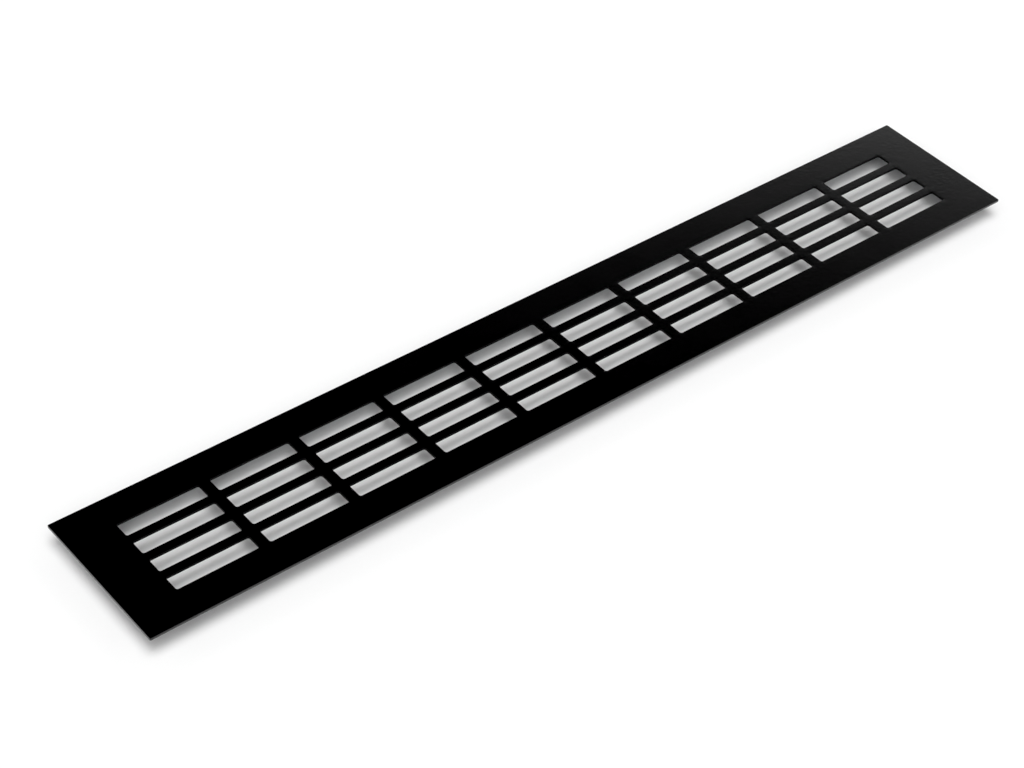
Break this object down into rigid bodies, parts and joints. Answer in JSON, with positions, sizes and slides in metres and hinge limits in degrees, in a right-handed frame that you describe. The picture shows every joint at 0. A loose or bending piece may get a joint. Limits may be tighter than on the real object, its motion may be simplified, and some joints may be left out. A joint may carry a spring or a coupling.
{
  "type": "slotted ventilation grille",
  "caption": "Flat black rectangular ventilation grille with rows of long slots, on a shallow rear collar that spring clips hold in a panel cut-out.",
  "frame": {"origin": "centre of the footprint, on the surface that the collar's lower edge rests on", "axes": "+X along the length to the right, +Y across the width to the far side, +Z from the back to the face"},
  "size_m": [0.48, 0.075, 0.0092],
  "materials": {
    "face_coating": "satin black coating, fine grain",
    "rail_metal": "mill finish with drawing lines along the length",
    "cleat_metal": "bright zinc plate",
    "rivet_metal": "satin",
    "clip_steel": "rolled spring strip, satin",
    "bond_tape": "grey acrylic foam tape",
    "gasket_foam": "closed-cell foam with a fine pore"
  },
  "bodies": {
    "grille": {"face_plate": "face_coating", "rail_near": "rail_metal", "rail_far": "rail_metal", "end_rail_left": "rail_metal", "end_rail_right": "rail_metal", "bond_tape_near": "bond_tape", "bond_tape_far": "bond_tape", "bond_tape_left": "bond_tape", "bond_tape_right": "bond_tape", "gasket_near": "gasket_foam", "gasket_far": "gasket_foam", "gasket_left": "gasket_foam", "gasket_right": "gasket_foam", "corner_cleat_near_left": "cleat_metal", "corner_cleat_near_right": "cleat_metal", "corner_cleat_far_left": "cleat_metal", "corner_cleat_far_right": "cleat_metal", "corner_rivets": "rivet_metal", "clip_near_left": "clip_steel", "clip_near_middle": "clip_steel", "clip_near_right": "clip_steel", "clip_far_left": "clip_steel", "clip_far_middle": "clip_steel", "clip_far_right": "clip_steel"},
    "leaf_near_left": {"leaf_near_left": "clip_steel"},
    "leaf_near_middle": {"leaf_near_middle": "clip_steel"},
    "leaf_near_right": {"leaf_near_right": "clip_steel"},
    "leaf_far_left": {"leaf_far_left": "clip_steel"},
    "leaf_far_middle": {"leaf_far_middle": "clip_steel"},
    "leaf_far_right": {"leaf_far_right": "clip_steel"}
  },
  "joints": [
    {"name": "leaf_near_left_flex", "type": "hinge", "parent": "grille", "child": "leaf_near_left", "pos_m": [-0.16, -0.03055, 0.00165], "axis": [-1, 0, 0], "range_deg": [0, 12.5], "stiffness_Nm_per_rad": 0.06},
    {"name": "leaf_near_middle_flex", "type": "hinge", "parent": "grille", "child": "leaf_near_middle", "pos_m": [0, -0.03055, 0.00165], "axis": [-1, 0, 0], "range_deg": [0, 12.5], "stiffness_Nm_per_rad": 0.06},
    {"name": "leaf_near_right_flex", "type": "hinge", "parent": "grille", "child": "leaf_near_right", "pos_m": [0.16, -0.03055, 0.00165], "axis": [-1, 0, 0], "range_deg": [0, 12.5], "stiffness_Nm_per_rad": 0.06},
    {"name": "leaf_far_left_flex", "type": "hinge", "parent": "grille", "child": "leaf_far_left", "pos_m": [-0.16, 0.03055, 0.00165], "axis": [1, 0, 0], "range_deg": [0, 12.5], "stiffness_Nm_per_rad": 0.06},
    {"name": "leaf_far_middle_flex", "type": "hinge", "parent": "grille", "child": "leaf_far_middle", "pos_m": [0, 0.03055, 0.00165], "axis": [1, 0, 0], "range_deg": [0, 12.5], "stiffness_Nm_per_rad": 0.06},
    {"name": "leaf_far_right_flex", "type": "hinge", "parent": "grille", "child": "leaf_far_right", "pos_m": [0.16, 0.03055, 0.00165], "axis": [1, 0, 0], "range_deg": [0, 12.5], "stiffness_Nm_per_rad": 0.06}
  ]
}
